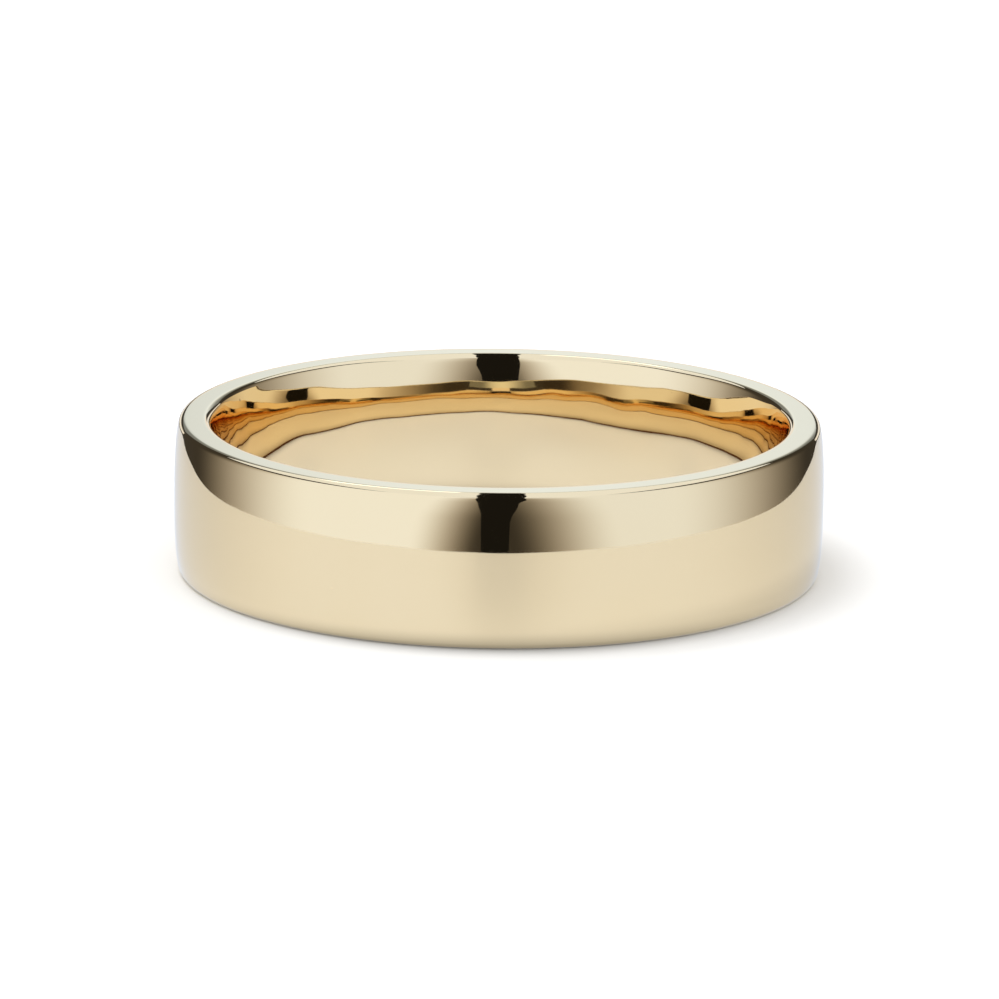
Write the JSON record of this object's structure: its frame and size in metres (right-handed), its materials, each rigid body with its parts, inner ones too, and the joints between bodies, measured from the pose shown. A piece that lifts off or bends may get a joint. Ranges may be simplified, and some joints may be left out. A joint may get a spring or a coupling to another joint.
{
  "type": "wedding band",
  "caption": "Plain seamless finger ring with a low crowned outside, narrow flat rims and a comfort-fit bore that opens softly towards both rims.",
  "frame": {"origin": "on the ring's axis, in the plane of the rim that it lies on", "axes": "+Z along the ring's axis, from the rim it lies on to the upper rim; X and Y are any two directions across it, as the ring is round"},
  "size_m": [0.021, 0.021, 0.005],
  "materials": {
    "yellow_gold": "polished"
  },
  "bodies": {
    "root": {"band": "yellow_gold"}
  },
  "joints": []
}
